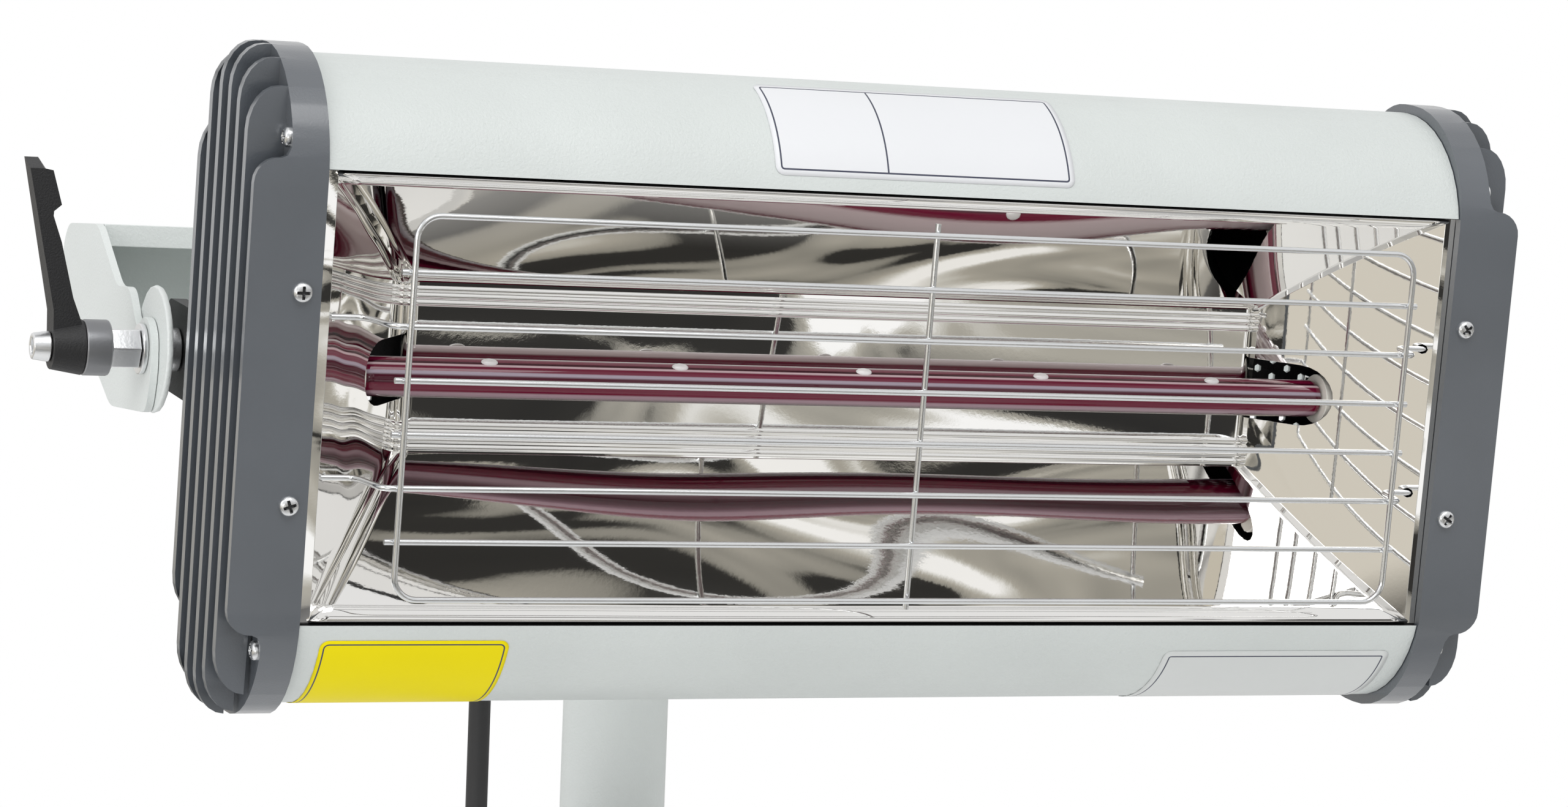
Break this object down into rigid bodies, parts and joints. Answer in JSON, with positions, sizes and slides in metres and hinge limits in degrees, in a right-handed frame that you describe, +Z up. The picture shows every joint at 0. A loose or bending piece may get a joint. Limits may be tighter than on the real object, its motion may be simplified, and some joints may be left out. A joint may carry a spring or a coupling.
{
  "type": "infrared paint curing lamp",
  "caption": "Infrared curing lamp head with a ruby quartz tube in a mirror trough behind a wire guard, finned end caps, and a yoke with a clamp lever on a round mast",
  "frame": {"origin": "middle of the mast tube's lower end", "axes": "+Z up along the mast, the lamp faces -Y, +X to the right as seen from the front of the lamp"},
  "size_m": [0.5135, 0.2707, 0.4059],
  "materials": {
    "cap_paint": "dark blue-grey satin powder coat on die-cast aluminium",
    "light_paint": "light grey-white fine textured powder coat",
    "mirror_sheet": "polished reflector aluminium",
    "ruby_quartz": "ruby-coated quartz tube",
    "ceramic": "matt white ceramic",
    "bright_wire": "bright plated steel wire and spring steel",
    "zinc_steel": "zinc-plated steel",
    "black_paint": "fine textured black coat",
    "black_plastic": "matt black plastic",
    "lead_rubber": "black rubber sheath"
  },
  "bodies": {
    "stand": {"friction_disc_left": "light_paint", "yoke_ear_left": "light_paint", "pivot_washer_left": "zinc_steel", "friction_disc_right": "light_paint", "yoke_ear_right": "light_paint", "pivot_washer_right": "zinc_steel", "yoke_bar": "light_paint", "mast_tube": "light_paint", "mast_plug": "black_plastic", "mast_bolt_upper": "zinc_steel", "mast_bolt_lower": "zinc_steel", "mast_nut_upper": "zinc_steel", "mast_nut_lower": "zinc_steel", "pivot_bolt": "zinc_steel", "lead_tube": "lead_rubber", "lead_coil": "lead_rubber", "coil_tie": "black_plastic", "lead_plug": "black_plastic"},
    "head": {"end_cap_left": "cap_paint", "end_cap_right": "cap_paint", "housing_shell": "light_paint", "reflector_trough": "mirror_sheet", "reflector_end_left": "mirror_sheet", "reflector_end_right": "mirror_sheet", "quartz_tube": "ruby_quartz", "lamp_base_left": "ceramic", "lamp_base_right": "ceramic", "lamp_clip_left": "bright_wire", "lamp_clip_right": "bright_wire", "terminal_block": "ceramic", "guard_ring": "bright_wire", "guard_wire_1": "bright_wire", "guard_wire_2": "bright_wire", "guard_wire_3": "bright_wire", "guard_wire_4": "bright_wire", "guard_wire_5": "bright_wire", "guard_wire_6": "bright_wire", "guard_upright": "bright_wire", "face_screw_upper_left": "zinc_steel", "face_screw_upper_right": "zinc_steel", "side_screw_upper_left": "zinc_steel", "side_screw_upper_right": "zinc_steel", "bracket_screw_upper_left": "zinc_steel", "bracket_screw_upper_right": "zinc_steel", "face_screw_lower_left": "zinc_steel", "face_screw_lower_right": "zinc_steel", "side_screw_lower_left": "zinc_steel", "side_screw_lower_right": "zinc_steel", "bracket_screw_lower_left": "zinc_steel", "bracket_screw_lower_right": "zinc_steel", "pivot_bracket_left": "black_paint", "pivot_bracket_right": "black_paint", "pivot_stud_left": "zinc_steel", "pivot_stud_right": "zinc_steel", "cable_gland": "black_plastic", "strain_relief": "lead_rubber"},
    "lever": {"clamp_bolt": "zinc_steel", "lever_collar": "black_paint", "clamp_lever": "black_paint", "lever_screw": "zinc_steel"}
  },
  "joints": [
    {"name": "head_tilt", "type": "hinge", "parent": "stand", "child": "head", "pos_m": [0.0157, -0.1223, 0.23], "axis": [1, 0, 0], "range_deg": [-76, 68], "deforming": ["lead_tube"]},
    {"name": "lever_turn", "type": "hinge", "parent": "stand", "child": "lever", "pos_m": [0.0157, -0.1223, 0.23], "axis": [1, 0, 0], "range_deg": [-110, 15]}
  ]
}
